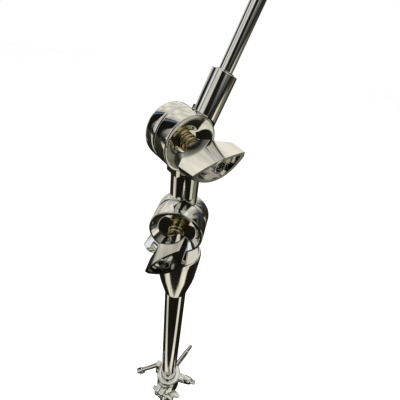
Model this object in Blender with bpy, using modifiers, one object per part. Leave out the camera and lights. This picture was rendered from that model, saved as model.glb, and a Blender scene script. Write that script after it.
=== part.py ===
"""Cymbal boom stand: folding tripod, telescoping tubes, double tilter and boom arm.

Lengths below are in millimetres; MM turns them into metres.  +Z is up, the floor
is z = 0 and the tubes stand on the Z axis.
"""
import math

import bmesh
import bpy
from mathutils import Matrix, Vector

MM = 0.001
GAP = 0.4                 # clearance between separate pieces

# Tubes (outer radius, inner radius, bottom, top)
BASE_TUBE = (15.9, 14.75, 5.4, 590.0)
MIDDLE_TUBE = (14.3, 13.15, 300.0, 952.0)
UPPER_TUBE = (12.7, 11.5, 640.0, 1314.0)

# Tripod
LEG_TURNS = (278.0, 38.0, 158.0)
LEG_PIVOT_R, LEG_PIVOT_Z = 31.0, 347.0
BRACE_PIVOT_Z = 52.0
LEG_SPREAD = 39.1         # degrees from vertical
BRACE_LENGTH = 190.0
LEG_LENGTH = 428.0

# Tilters
UPPER_Z, UPPER_TURN = 1450.0, 42.0
LOWER_Z, LOWER_TURN = 1374.0, -7.0
UPPER_R, LOWER_R = 22.8, 24.3
UPPER_AXIS = (-2.0, 3.0)  # drum axis, x and z in the tilter's own frame
UPPER_FRONT, UPPER_PART, UPPER_REAR = -6.4, 8.0, 22.8
LOWER_FRONT, LOWER_PART, LOWER_REAR = -22.6, -6.4, 10.4
NECK_R = 12.0

# Boom
BOOM_LEAN = 24.7
SLEEVE_R, SLEEVE_BORE, SLEEVE_END = 9.7, 7.2, 54.3
SLEEVE_SIDE, SLEEVE_DEPTH = 9.0, 2.0
ROD_R, ROD_START, ROD_END = 5.2, 27.0, 470.0

SIDES = 24

COLORS = {
    "chrome": ((0.80, 0.80, 0.82), 0.06, 1.0),
    "satin": ((0.62, 0.62, 0.63), 0.25, 1.0),
    "brass": ((0.72, 0.56, 0.28), 0.18, 1.0),
    "rubber": ((0.03, 0.03, 0.032), 0.75, 0.0),
    "felt": ((0.22, 0.21, 0.20), 0.95, 0.0),
    "nylon": ((0.08, 0.08, 0.085), 0.45, 0.0),
}


def clear_scene():
    for obj in list(bpy.data.objects):
        bpy.data.objects.remove(obj, do_unlink=True)


def new_collection(name):
    coll = bpy.data.collections.new(name)
    bpy.context.scene.collection.children.link(coll)
    return coll


clear_scene()
PARTS = new_collection("cymbal_boom_stand")
CUTTERS = new_collection("cutters")


def material(name, kind):
    color, rough, metal = COLORS[kind]
    mat = bpy.data.materials.new(name)
    mat.use_nodes = True
    bsdf = mat.node_tree.nodes["Principled BSDF"]
    bsdf.inputs["Base Color"].default_value = (*color, 1.0)
    bsdf.inputs["Roughness"].default_value = rough
    bsdf.inputs["Metallic"].default_value = metal
    return mat


def scaled(matrix):
    """A placement given in millimetres, as a matrix in metres."""
    out = matrix.copy()
    out.translation = matrix.translation * MM
    return out


def link(obj, matrix, kind):
    """Place obj: kind is a colour key for a part, or None for a cutter."""
    obj.matrix_world = scaled(matrix)
    if kind is None:
        CUTTERS.objects.link(obj)
        obj.hide_render = True
        obj.display_type = "WIRE"
    else:
        PARTS.objects.link(obj)
        obj.data.materials.append(material(obj.name, kind))
    return obj


def from_bmesh(name, bm, matrix, kind):
    mesh = bpy.data.meshes.new(name)
    bm.to_mesh(mesh)
    bm.free()
    return link(bpy.data.objects.new(name, mesh), matrix, kind)


def cylinder(name, radius, low, high, matrix, kind=None, radius_top=None, sides=SIDES):
    """A capped cylinder or cone along the matrix's own Z."""
    bm = bmesh.new()
    top = radius if radius_top is None else radius_top
    bmesh.ops.create_cone(bm, cap_ends=True, segments=sides, radius1=radius * MM,
                          radius2=top * MM, depth=(high - low) * MM)
    bmesh.ops.translate(bm, verts=bm.verts, vec=(0, 0, (high + low) / 2 * MM))
    return from_bmesh(name, bm, matrix, kind)


def box(name, low, high, matrix, kind=None):
    bm = bmesh.new()
    bmesh.ops.create_cube(bm, size=1.0)
    size = [(h - l) * MM for l, h in zip(low, high)]
    centre = [(h + l) / 2 * MM for l, h in zip(low, high)]
    bmesh.ops.scale(bm, vec=size, verts=bm.verts)
    bmesh.ops.translate(bm, vec=centre, verts=bm.verts)
    return from_bmesh(name, bm, matrix, kind)


def turned(name, profile, matrix, kind=None, ring=False, sides=SIDES):
    """Turn (radius, height) points about Z; they run down the outer side."""
    mesh = bpy.data.meshes.new(name)
    verts = [(r * MM, 0.0, h * MM) for r, h in profile]
    edges = [(i, i + 1) for i in range(len(verts) - 1)]
    if ring:
        edges.append((len(verts) - 1, 0))
    mesh.from_pydata(verts, edges, [])
    obj = link(bpy.data.objects.new(name, mesh), matrix, kind)
    screw = obj.modifiers.new("Turn", "SCREW")
    screw.steps = screw.render_steps = sides
    screw.use_merge_vertices = True
    screw.merge_threshold = 0.00001
    screw.use_smooth_shade = False
    return obj


def plate(name, outline, low, high, matrix, kind=None):
    """A flat outline in the matrix's XY plane, thick from low to high."""
    curve = bpy.data.curves.new(name + "_outline", "CURVE")
    curve.dimensions = "2D"
    curve.fill_mode = "BOTH"
    curve.extrude = (high - low) / 2 * MM
    spline = curve.splines.new("POLY")
    spline.points.add(len(outline) - 1)
    for point, (x, y) in zip(spline.points, outline):
        point.co = (x * MM, y * MM, 0.0, 1.0)
    spline.use_cyclic_u = True
    guide = bpy.data.objects.new(name + "_outline", curve)
    bpy.context.scene.collection.objects.link(guide)
    bpy.context.view_layer.update()
    flat = guide.evaluated_get(bpy.context.evaluated_depsgraph_get())
    mesh = bpy.data.meshes.new_from_object(flat)
    bpy.data.objects.remove(guide, do_unlink=True)
    bm = bmesh.new()
    bm.from_mesh(mesh)
    bmesh.ops.remove_doubles(bm, verts=bm.verts, dist=0.00001)
    bmesh.ops.recalc_face_normals(bm, faces=bm.faces)
    bmesh.ops.translate(bm, vec=(0, 0, (high + low) / 2 * MM), verts=bm.verts)
    bpy.data.meshes.remove(mesh)
    return from_bmesh(name, bm, matrix, kind)


def boolean(obj, other, operation):
    mod = obj.modifiers.new(operation.title(), "BOOLEAN")
    mod.operation = operation
    mod.object = other
    mod.solver = "EXACT"


def join(obj, *others):
    for other in others:
        boolean(obj, other, "UNION")
    return obj


def cut(obj, *others):
    for other in others:
        boolean(obj, other, "DIFFERENCE")
    return obj


def at(x=0.0, y=0.0, z=0.0):
    return Matrix.Translation((x, y, z))


def turn(degrees, axis="Z"):
    return Matrix.Rotation(math.radians(degrees), 4, axis)


# Frames: in a tilter's frame +Y is the clamp bolt's axis, pointing to the bolt head.
UPPER = at(z=UPPER_Z) @ turn(UPPER_TURN)
LOWER = at(z=LOWER_Z) @ turn(LOWER_TURN)
UPPER_DRUM = UPPER @ at(UPPER_AXIS[0], 0, UPPER_AXIS[1]) @ turn(-90, "X")
LOWER_DRUM = LOWER @ turn(-90, "X")
BOOM = (UPPER @ at(UPPER_AXIS[0], 0, UPPER_AXIS[1]) @ turn(BOOM_LEAN, "Y")
        @ at(SLEEVE_SIDE, SLEEVE_DEPTH, 0))
WORLD = at()


def tube(name, sizes):
    outer, inner, low, high = sizes
    profile = [(outer, high), (outer, low), (inner, low), (inner, high)]
    return turned(name, profile, WORLD, "chrome", ring=True)


def build_tubes():
    tube("base_tube", BASE_TUBE)
    tube("middle_tube", MIDDLE_TUBE)
    tube("upper_tube", UPPER_TUBE)
    turned("base_plug", [(0, 24), (13.6, 24), (14.3, 22), (14.3, 5), (18.5, 5),
                         (18.5, 1), (17.5, 0), (0, 0)], WORLD, "rubber")


def clamp(name, tube_r, tube_top, neck_r, top, turn_deg):
    """A split clamp sitting on a tube's top end and closing on the next tube."""
    low = top - 42.0
    outer = tube_r + 6.5
    step = tube_top + GAP
    body = turned(name, [(outer - 2.5, top), (outer - 1.0, top - 3), (outer, low + 8),
                         (outer - 1.5, low), (tube_r + GAP, low), (tube_r + GAP, step),
                         (neck_r + 0.45, step), (neck_r + 0.45, top)],
                  WORLD, "chrome", ring=True)
    ear = at(z=top - 14) @ turn(turn_deg)
    join(body, box(name + "_ear", (outer - 5, -9, -11), (outer + 12, 9, 11), ear))
    cut(body, cylinder(name + "_bore", 3.6, -30, 30, ear @ at(outer + 5.5) @ turn(90, "X"), sides=20))
    return body


def wing_bolt(name, matrix, shank, reach=21.0):
    """A bolt along +Z with a wing head; its threaded end is at -shank."""
    body = cylinder(name, 3.1, -shank, 2, matrix, "chrome", sides=12)
    hub = turned(name + "_hub", [(0, 14), (4.6, 14), (6.2, 12), (7.2, 2), (7.2, 0), (0, 0)],
                 matrix, sides=16)
    outline = [(-reach, 9), (-reach + 5, 3.5), (-5.5, 1.3), (5.5, 1.3), (reach - 5, 3.5),
               (reach, 9), (reach - 2.5, 21), (reach - 7, 21), (5, 10.5), (-5, 10.5),
               (-reach + 7, 21), (-reach + 2.5, 21)]
    wings = plate(name + "_wings", outline, -2.0, 2.0, matrix @ turn(90, "X"))
    return join(body, hub, wings)


def thumb_bolt(name, matrix, shank):
    """A bolt along +Z with one solid thumb blade for its head."""
    body = cylinder(name, 3.1, -shank, 2, matrix, "chrome", sides=12)
    hub = turned(name + "_hub", [(0, 12), (5.2, 12), (6.6, 2), (6.6, 0), (0, 0)], matrix,
                 sides=16)
    outline = [(-5.6, 2.5), (5.6, 2.5), (12.5, 12), (11, 25), (-11, 25), (-12.5, 12)]
    blade = plate(name + "_blade", outline, -2.4, 2.4, matrix @ turn(90, "X"))
    return join(body, hub, blade)


def build_clamps():
    clamp("base_clamp", 15.9, 590.0, 14.3, 604.0, 215.0)
    clamp("middle_clamp", 14.3, 952.0, 12.7, 962.0, 244.0)
    wing_bolt("base_clamp_bolt", at(z=590) @ turn(215) @ at(27.9, 14, 0) @ turn(-90, "X"), 29.0,
              reach=17.0)
    wing_bolt("middle_clamp_bolt", at(z=948) @ turn(244) @ at(26.3, 14, 0) @ turn(-90, "X"), 29.0,
              reach=17.0)
    lock = turned("memory_lock", [(20, 978), (21, 976.5), (21, 964), (20, 962.6),
                                  (13.15, 962.6), (13.15, 978)], WORLD, "chrome", ring=True)
    ear = box("lock_ear", (16, -6, -7), (30, 6, 7), at(z=970.4) @ turn(350))
    post = box("lock_post", (16.5, -5.5, -6.5), (24.5, 5.5, 29), at(z=970.4) @ turn(165))
    handle = at(-20.3, 5.4, 993) @ turn(194.8) @ turn(115.4, "Y")
    grip = cylinder("lock_grip", 4.4, 0, 34, handle, sides=16, radius_top=3.8)
    end = box("lock_grip_end", (-5, -4.5, 31), (9, 4.5, 41), handle)
    lever = at(11.5, 13.0, 973) @ turn(50.9) @ turn(54.4, "Y")
    arm = cylinder("lock_arm", 4.4, 0, 47, lever, sides=16, radius_top=3.2)
    join(lock, ear, post, grip, end, arm)
    cut(lock, cylinder("lock_bore", 3.6, 13, 40, at(z=970.4) @ turn(350) @ turn(90, "Y"),
                       sides=20),
        cylinder("lock_clear", 13.15, 950, 1010, WORLD))
    wing_bolt("memory_lock_bolt", at(z=970.4) @ turn(350) @ at(30.5) @ turn(90, "Y") @ turn(28),
              17.0, reach=13.0)


def hinge_lug(name, frame, side, matrix_z):
    """A block with a slot for one strip; side is the strip's offset across the lug."""
    block = box(name, (18, side - 5.6, -9), (37, side + 5.6, 9), frame @ at(z=matrix_z))
    return block


def tripod_collar(name, z_mid, half, side):
    ring = [(21.5, z_mid + half), (22.5, z_mid + half - 2), (22.5, z_mid - half + 2),
            (21.5, z_mid - half), (16.35, z_mid - half), (16.35, z_mid + half)]
    body = turned(name, ring, WORLD, "chrome", ring=True)
    for index, angle in enumerate(LEG_TURNS):
        frame = turn(angle)
        tag = "%s_%d" % (name, index)
        join(body, hinge_lug(tag + "_lug", frame, side, z_mid))
        cut(body, box(tag + "_slot", (23.0, side - 2.6, -14), (44, side + 2.6, 14),
                      frame @ at(z=z_mid)))
        cut(body, cylinder(tag + "_hole", 2.9, -12, 12,
                           frame @ at(LEG_PIVOT_R, side, z_mid) @ turn(90, "X"), sides=16))
    return body


def strip(name, length, side, thick, matrix, hole_at=None):
    """A flat bar along its own -Z from a pin at the origin."""
    y0, y1 = side - thick / 2, side + thick / 2
    body = box(name, (-5.8, y0, -length), (5.8, y1, 4.6), matrix, "chrome")
    join(body, cylinder(name + "_pin", 2.4, side - 6.4, side + 6.4,
                        matrix @ turn(-90, "X"), sides=16))
    return body


BRACE_SIDE = 5.4


def leg_frame(angle):
    return turn(angle) @ at(LEG_PIVOT_R, 0, LEG_PIVOT_Z) @ turn(-LEG_SPREAD, "Y")


def brace_frame(angle):
    return (turn(angle) @ at(LEG_PIVOT_R, 0, BRACE_PIVOT_Z)
            @ turn(180 + LEG_SPREAD, "Y"))


def build_tripod():
    tripod_collar("leg_collar", LEG_PIVOT_Z, 13.0, 0.0)
    tripod_collar("brace_collar", BRACE_PIVOT_Z, 11.0, BRACE_SIDE)
    for index, angle in enumerate(LEG_TURNS):
        number = index + 1
        strip("leg_%d" % number, LEG_LENGTH, 0.0, 4.2, leg_frame(angle))
        strip("brace_%d" % number, BRACE_LENGTH + 7, BRACE_SIDE, 3.6, brace_frame(angle))
        foot = plate("foot_%d" % number, [(270, 0.0), (320, 0.0), (320, 9), (312, 26),
                                          (288, 56), (263, 42), (270, 8)],
                     -9.0, 9.0, turn(angle) @ turn(90, "X"), "rubber")
        cut(foot, box("foot_%d_pocket" % number, (-6.3, -2.6, -LEG_LENGTH - 0.5), (6.3, 2.6, 0),
                      leg_frame(angle)))
    side = at(z=LEG_PIVOT_Z) @ turn(LEG_TURNS[0] - 60)
    wing_bolt("leg_collar_bolt", side @ at(24.0) @ turn(90, "Y") @ turn(9), 4.6, reach=19.0)
    cut(bpy.data.objects["leg_collar"],
        cylinder("leg_collar_screw", 3.6, 10, 40, side @ turn(90, "Y"), sides=20))


def front_bore(name, part, front, dish, drum):
    """Cutter for a front half: bolt hole, disc recess behind it, dished face before it."""
    steps = [(r, front + depth) for r, depth in dish]
    rim = dish[-1][0]
    return turned(name, [(0, part + 5), (17.5, part + 5), (17.5, part - 1.4),
                         (3.6, part - 1.4), (3.6, steps[0][1])] + steps
                  + [(rim, front - 4), (0, front - 4)], drum)


def rear_bore(name, part, drum):
    """Cutter for a rear half: bolt hole and the disc recess in its parting face."""
    return turned(name, [(0, 40), (3.6, 40), (3.6, part + 1.4), (17.5, part + 1.4),
                         (17.5, -20), (0, -20)], drum)


def build_cup():
    """The casting on the upper tube: goblet, web and the lower tilter's front half."""
    base = LOWER_Z
    top = base - 47.0
    goblet = [(0, top - 1.5), (20.6, top - 1.5), (21.2, top), (22.6, top), (23.6, top - 2),
              (23.4, top - 9), (22.2, top - 20), (20.2, top - 33), (17.6, top - 50),
              (15.0, top - 66), (13.9, base - 132), (0, base - 132)]
    body = turned("tilter_cup", goblet, WORLD, "chrome", sides=32)
    drum = turned("cup_drum", [(0, LOWER_PART), (LOWER_R, LOWER_PART),
                               (LOWER_R, LOWER_FRONT + 1), (LOWER_R - 1, LOWER_FRONT),
                               (0, LOWER_FRONT)], LOWER_DRUM, sides=32)
    web = box("cup_web", (-12, -18, -56), (12, LOWER_PART - 0.5, -10), LOWER)
    join(body, drum, web)
    dish = front_bore("cup_dish", LOWER_PART, LOWER_FRONT,
                      [(9, 9), (17.5, 6.5), (22.0, -0.1)], LOWER_DRUM)
    socket = cylinder("cup_socket", 13.15, 1220, UPPER_TUBE[3] + 0.4, WORLD)
    screw = cylinder("cup_screw_hole", 3.6, 5, 40, at(z=1300) @ turn(139) @ turn(90, "Y"),
                     sides=20)
    cut(body, dish, socket, screw)
    thumb_bolt("cup_bolt", at(z=1300) @ turn(139) @ at(28.0) @ turn(90, "Y") @ turn(45), 14.8)


def build_link():
    """The casting between the tilters: upper front half, neck and lower rear half."""
    body = cylinder("tilter_link", NECK_R, LOWER_Z + 14, UPPER_Z - 6, WORLD, "chrome")
    face = box("link_face_trim", (-40, -40, -21), (40, UPPER_FRONT + 0.6, 40), UPPER)
    upper = turned("link_upper_drum", [(0, UPPER_PART), (UPPER_R, UPPER_PART),
                                       (UPPER_R, UPPER_FRONT + 0.8),
                                       (UPPER_R - 0.8, UPPER_FRONT), (0, UPPER_FRONT)],
                   UPPER_DRUM, sides=32)
    web = box("link_web", (-13.5, UPPER_FRONT + 0.3, -23), (12.5, UPPER_PART - 0.6, -4), UPPER)
    lower = turned("link_lower_drum", [(0, LOWER_REAR), (LOWER_R - 3, LOWER_REAR),
                                       (LOWER_R, LOWER_REAR - 3), (LOWER_R, LOWER_PART + GAP),
                                       (0, LOWER_PART + GAP)], LOWER_DRUM, sides=32)
    clear_up = cylinder("link_clear_up", UPPER_R + 0.6, UPPER_PART - 0.3, 40, UPPER_DRUM,
                        sides=32)
    clear_low = cylinder("link_clear_low", LOWER_R + 0.6, -40, LOWER_PART + GAP + 0.3,
                         LOWER_DRUM, sides=32)
    dish = front_bore("link_dish", UPPER_PART, UPPER_FRONT,
                      [(9.6, 6.5), (12.6, 4.0), (20.6, -0.1)], UPPER_DRUM)
    lip = box("link_lip", (-40, -40, 5), (40, LOWER_PART + GAP + 0.3, 30), LOWER)
    cut(body, face, clear_low, clear_up, lip)
    join(body, upper, web, lower)
    cut(body, dish, rear_bore("link_recess", LOWER_PART + GAP, LOWER_DRUM))


def build_boom():
    body = turned("boom_holder", [(0, UPPER_REAR), (UPPER_R - 4, UPPER_REAR),
                                  (UPPER_R - 1, UPPER_REAR - 1.6), (UPPER_R, UPPER_REAR - 4),
                                  (UPPER_R, UPPER_PART + GAP), (0, UPPER_PART + GAP)],
                  UPPER_DRUM, "chrome", sides=32)
    sleeve = cylinder("holder_sleeve", SLEEVE_R, 6, SLEEVE_END, BOOM)
    bridge = box("holder_bridge", (-8, 0, 8), (8, 9.3, 27), BOOM)
    clear = cylinder("holder_clear", UPPER_R + 0.6, -40, UPPER_PART + GAP, UPPER_DRUM, sides=32)
    arm = join(sleeve, bridge)
    cut(arm, clear)
    join(body, arm)
    bore = cylinder("holder_bore", SLEEVE_BORE, ROD_START - 1, 80, BOOM)
    cut(body, bore, rear_bore("holder_recess", UPPER_PART + GAP, UPPER_DRUM))
    turned("sleeve_bush", [(6.75, SLEEVE_END + 0.9), (6.75, ROD_START + 4),
                           (ROD_R + 0.4, ROD_START + 4), (ROD_R + 0.4, SLEEVE_END + 0.9)],
           BOOM, "nylon", ring=True)
    cylinder("boom_rod", ROD_R, ROD_START, ROD_END, BOOM, "chrome", sides=24)


def tilter_hardware(prefix, drum, front, part, rear):
    """Bolt, friction disc and brass collar on one clamp axis."""
    head = rear + 0.5
    turned(prefix + "_bolt", [(0, head + 4.0), (5, head + 3.6), (8.0, head + 1.2),
                              (8.0, head), (3.1, head), (3.1, front - 26), (0, front - 26)],
           drum, "satin", sides=24)
    turned(prefix + "_friction_disc", [(17.0, part + 1.4), (17.0, part - 1.0),
                                       (3.6, part - 1.0), (3.6, part + 1.4)],
           drum, "nylon", ring=True)


def wing_nut(name, matrix):
    """A deep die-cast wing nut; its own -Z is the front."""
    plan = [(-22.4, -33), (22.4, -33), (23.6, -19), (5.0, -4.8), (-5.0, -4.8), (-23.6, -19)]
    lens = [(-23.8, 2.7), (23.8, 2.7), (23.8, -0.8), (17.5, -6.4), (10.5, -10.2), (4, -11.8),
            (-4, -11.8), (-10.5, -10.2), (-17.5, -6.4), (-23.8, -0.8)]
    body = plate(name, lens, -33.0, -4.8, matrix, "chrome")
    shape = plate(name + "_plan", plan, -14.0, 12.0, matrix @ turn(90, "X"))
    boolean(body, shape, "INTERSECT")
    join(body, cylinder(name + "_hub", 5.7, -33.6, -4.6, matrix, sides=24))
    cut(body, cylinder(name + "_bore", 3.6, -60, 10, matrix, sides=20),
        cylinder(name + "_mouth", 4.6, -60, -27, matrix, sides=24))
    return body


def build_hardware():
    tilter_hardware("upper", UPPER_DRUM, UPPER_FRONT, UPPER_PART + GAP / 2 - 0.2, UPPER_REAR)
    tilter_hardware("lower", LOWER_DRUM, LOWER_FRONT, LOWER_PART + GAP / 2 - 0.2, LOWER_REAR)
    turned("upper_collar", [(6.0, UPPER_FRONT + 6.1), (8.6, UPPER_FRONT + 6.1),
                            (8.6, UPPER_FRONT + 2), (7.0, UPPER_FRONT + 1),
                            (7.0, UPPER_FRONT - 3.8), (3.6, UPPER_FRONT - 3.8),
                            (3.6, UPPER_FRONT + 6.1)], UPPER_DRUM, "brass", ring=True)
    turned("lower_collar", [(6.0, LOWER_FRONT + 8.6), (8.4, LOWER_FRONT + 8.6),
                            (8.4, LOWER_FRONT + 3), (7.0, LOWER_FRONT + 2),
                            (7.0, LOWER_FRONT - 3.8), (3.6, LOWER_FRONT - 3.8),
                            (3.6, LOWER_FRONT + 8.6)], LOWER_DRUM, "brass", ring=True)
    wing_nut("upper_wing_nut", UPPER_DRUM @ at(z=UPPER_FRONT) @ turn(180 - 7, "Z"))
    wing_nut("lower_wing_nut", LOWER_DRUM @ at(z=LOWER_FRONT) @ turn(127.5, "Z"))


HEAD_TILT = -BOOM_LEAN     # the post stands upright while the rod leans


def build_cymbal_end():
    """Small toothless tilter on the rod's end, with its post, felts and wing nut."""
    tip = BOOM @ at(z=ROD_END)
    body = cylinder("cymbal_tilter_base", 8.0, -22, 6, tip, "chrome", sides=24)
    block = box("tilter_base_cheek", (-7.5, -8, 0), (7.5, -0.2, 26), tip)
    join(body, block)
    pivot = tip @ at(z=18)
    across = pivot @ turn(-90, "X")
    trim = box("tilter_base_trim", (-12, -0.2, 0.5), (12, 12, 30), tip)
    socket = cylinder("tilter_base_socket", ROD_R + 0.4, -40, 0.4, tip, sides=24)
    hole = cylinder("tilter_base_hole", 3.6, -20, 20, across, sides=20)
    cut(body, trim, socket, hole)
    head = pivot @ turn(HEAD_TILT, "Y")
    cheek = cylinder("cymbal_tilter_head", 10.0, 0.2, 8.0, across, "chrome")
    arm = box("tilter_head_arm", (-6.5, 0.2, 0), (6.5, 8, 22), head)
    boss = cylinder("tilter_head_boss", 8.0, 20, 26, head @ at(0, 3, 0), sides=24)
    stem = cylinder("tilter_head_stem", 3.1, 24, 78, head @ at(0, 3, 0), sides=16)
    join(cheek, arm, boss, stem)
    cut(cheek, cylinder("tilter_head_hole", 3.6, -20, 20, across, sides=20))
    wing_bolt("cymbal_tilter_bolt", across @ at(z=-8.6) @ turn(180, "X"), 20.0, reach=15.0)
    post = head @ at(0, 3, 0)
    turned("seat_washer", [(4.5, 29), (14, 28.2), (14, 26.4), (3.6, 26.4), (3.6, 29)], post,
           "satin", ring=True)
    turned("nylon_sleeve", [(4.9, 56), (4.9, 30.8), (8.5, 30.8), (8.5, 29.4), (3.6, 29.4),
                            (3.6, 56)], post, "nylon", ring=True)
    for name, low in (("lower_felt", 31.2), ("upper_felt", 42.6)):
        turned(name, [(17, low + 11), (18.5, low + 9), (18.5, low + 2), (17, low),
                      (5.4, low), (5.4, low + 11)], post, "felt", ring=True)
    turn_nut = post @ at(z=56.6)
    nut = turned("top_wing_nut", [(0, 14), (5, 14), (6, 12), (7.5, 1), (7.5, 0), (0, 0)],
                 turn_nut, "chrome", sides=24)
    wings = plate("top_nut_wings", [(-18, 6), (-7, 1), (7, 1), (18, 6), (17, 19), (12, 19),
                                    (5, 9), (-5, 9), (-12, 19), (-17, 19)],
                  -1.8, 1.8, turn_nut @ turn(90, "X"))
    join(nut, wings)
    cut(nut, cylinder("top_nut_bore", 3.6, -5, 30, turn_nut, sides=16))


def main():
    build_tubes()
    build_clamps()
    build_tripod()
    build_cup()
    build_link()
    build_boom()
    build_hardware()
    build_cymbal_end()


main()
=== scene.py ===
"""Looks of a chrome cymbal boom stand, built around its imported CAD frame.

Every sub-assembly is a class with its sizes in millimetres.  A piece is shaped in its
own frame, then baked into a plain mesh at the origin that rides on its CAD body.
"""

import logging
import math
from dataclasses import dataclass, field
from enum import Enum
from typing import Dict, List, Optional, Sequence, Tuple

import bmesh
import bpy
from mathutils import Matrix, Vector

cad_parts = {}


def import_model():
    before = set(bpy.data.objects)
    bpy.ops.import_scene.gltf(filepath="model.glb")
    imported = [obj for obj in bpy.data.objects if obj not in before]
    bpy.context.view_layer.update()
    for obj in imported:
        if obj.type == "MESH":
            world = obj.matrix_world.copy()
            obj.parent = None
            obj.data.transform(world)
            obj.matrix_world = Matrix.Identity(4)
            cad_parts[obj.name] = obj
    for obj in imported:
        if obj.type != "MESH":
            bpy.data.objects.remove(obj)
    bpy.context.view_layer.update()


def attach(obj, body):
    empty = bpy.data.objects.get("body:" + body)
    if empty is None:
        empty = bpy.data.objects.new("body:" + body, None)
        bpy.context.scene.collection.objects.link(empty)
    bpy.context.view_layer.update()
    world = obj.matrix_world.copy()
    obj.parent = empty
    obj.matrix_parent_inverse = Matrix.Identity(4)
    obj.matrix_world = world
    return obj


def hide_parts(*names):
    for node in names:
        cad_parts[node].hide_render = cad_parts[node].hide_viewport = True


LOG = logging.getLogger("boom_stand")
MM = 0.001
SIDES = 96

Profile = List[Tuple[float, float]]


# ---- basics

def srgb(text: str) -> Tuple[float, float, float, float]:
    """Turn an sRGB hex colour into linear RGBA.

    Args:
        text: Six hex digits after a hash.

    Returns:
        Linear red, green, blue and an alpha of one.
    """
    parts = [int(text[i:i + 2], 16) / 255.0 for i in (1, 3, 5)]
    linear = [c / 12.92 if c <= 0.04045 else ((c + 0.055) / 1.055) ** 2.4 for c in parts]
    return (linear[0], linear[1], linear[2], 1.0)


def at(x: float = 0.0, y: float = 0.0, z: float = 0.0) -> Matrix:
    """A move, in millimetres."""
    return Matrix.Translation((x, y, z))


def turn(degrees: float, axis: str = "Z") -> Matrix:
    """A turn about one axis, in degrees."""
    return Matrix.Rotation(math.radians(degrees), 4, axis)


def add_node(tree: bpy.types.NodeTree, kind: str, settings: Optional[dict] = None,
             links: Optional[dict] = None) -> bpy.types.Node:
    """Add one node to a tree.

    Args:
        tree: The node tree.
        kind: The node's type name.
        settings: Values for its properties, or for its inputs by name or index.
        links: Sockets to link into its inputs, by name or index.

    Returns:
        The new node.
    """
    node = tree.nodes.new(kind)
    for key, value in (settings or {}).items():
        if isinstance(key, int) or key in node.inputs:
            node.inputs[key].default_value = value
        else:
            setattr(node, key, value)
    for key, socket in (links or {}).items():
        tree.links.new(socket, node.inputs[key])
    return node


def wire(tree: bpy.types.NodeTree, node: bpy.types.Node, values: dict) -> None:
    """Feed a node's inputs, each from a socket or a plain value."""
    for key, value in values.items():
        if isinstance(value, bpy.types.NodeSocket):
            tree.links.new(value, node.inputs[key])
        else:
            node.inputs[key].default_value = value


def math_step(tree: bpy.types.NodeTree, operation: str, *values: object
              ) -> bpy.types.NodeSocket:
    """One math node on sockets or numbers."""
    node = add_node(tree, "ShaderNodeMath", {"operation": operation})
    wire(tree, node, dict(enumerate(values)))
    return node.outputs[0]


def mix_colors(tree: bpy.types.NodeTree, share: bpy.types.NodeSocket, one: object,
               two: object) -> bpy.types.NodeSocket:
    """Mix two colours, each a socket or RGBA, by a share from zero to one."""
    node = add_node(tree, "ShaderNodeMix", {"data_type": "RGBA"})
    wire(tree, node, {0: share, 6: one, 7: two})
    return node.outputs[2]


def smooth_step(tree: bpy.types.NodeTree, value: bpy.types.NodeSocket, start: float,
                end: float) -> bpy.types.NodeSocket:
    """Rise smoothly from zero to one as a value goes from start to end."""
    return add_node(tree, "ShaderNodeMapRange",
                    {"interpolation_type": "SMOOTHSTEP", "From Min": start, "From Max": end},
                    {"Value": value}).outputs[0]


# ---- finishes

class Surface(Enum):
    """How a finish's fine relief runs."""

    POLISHED = "polished"
    BRUSHED = "brushed"
    MOULDED = "moulded"
    FIBROUS = "fibrous"


@dataclass(frozen=True)
class Finish:
    """One real finish: its colours, gloss and fine relief."""

    name: str
    color: str
    shade: str
    roughness: float
    roughness_swing: float
    metallic: float
    surface: Surface
    relief_mm: float
    relief_depth: float
    sheen: float = 0.0

    def build(self) -> bpy.types.Material:
        """Make the node material for this finish.

        Returns:
            The material, shared by all pieces of the finish.
        """
        found = bpy.data.materials.get(self.name)
        if found:
            return found
        mat = bpy.data.materials.new(self.name)
        mat.use_nodes = True
        tree = mat.node_tree
        bsdf = tree.nodes["Principled BSDF"]
        where = add_node(tree, "ShaderNodeTexCoord").outputs["Object"]
        scale = 1.0 / (self.relief_mm * MM)
        stretch = (1.0, 1.0, 0.06 if self.surface is Surface.BRUSHED else 1.0)
        mapped = add_node(tree, "ShaderNodeMapping", {"Scale": stretch}, {"Vector": where})
        fine = add_node(tree, "ShaderNodeTexNoise",
                        {"Scale": scale, "Detail": 4.0, "Roughness": 0.6},
                        {"Vector": mapped.outputs[0]})
        broad = add_node(tree, "ShaderNodeTexNoise",
                         {"Scale": scale / 9.0, "Detail": 3.0, "Roughness": 0.5},
                         {"Vector": where})
        tone = mix_colors(tree, broad.outputs["Fac"], srgb(self.color), srgb(self.shade))
        rough = add_node(tree, "ShaderNodeMapRange",
                         {"From Min": 0.3, "From Max": 0.75,
                          "To Min": max(0.0, self.roughness - self.roughness_swing),
                          "To Max": self.roughness + self.roughness_swing},
                         {"Value": fine.outputs["Fac"]})
        bump = add_node(tree, "ShaderNodeBump",
                        {"Strength": self.relief_depth, "Distance": 0.0002},
                        {"Height": fine.outputs["Fac"]})
        wire(tree, bsdf, {"Base Color": tone, "Roughness": rough.outputs[0],
                          "Normal": bump.outputs[0], "Metallic": self.metallic,
                          "Sheen Weight": self.sheen})
        return mat


# Chrome plate over buffed tube: a near mirror with a faint orange peel, so edges of
# reflections waver slightly.
CHROME = Finish("chrome_plate", "#F3F2F0", "#E9E8E6", 0.035, 0.018, 1.0,
                Surface.POLISHED, 9.0, 0.010)
# Chrome over die-cast zinc: a little wavier and softer than the drawn tubes.
CAST_CHROME = Finish("chrome_plated_die_casting", "#F1F0ED", "#E4E3E0", 0.055, 0.025, 1.0,
                     Surface.POLISHED, 5.0, 0.022)
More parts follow.
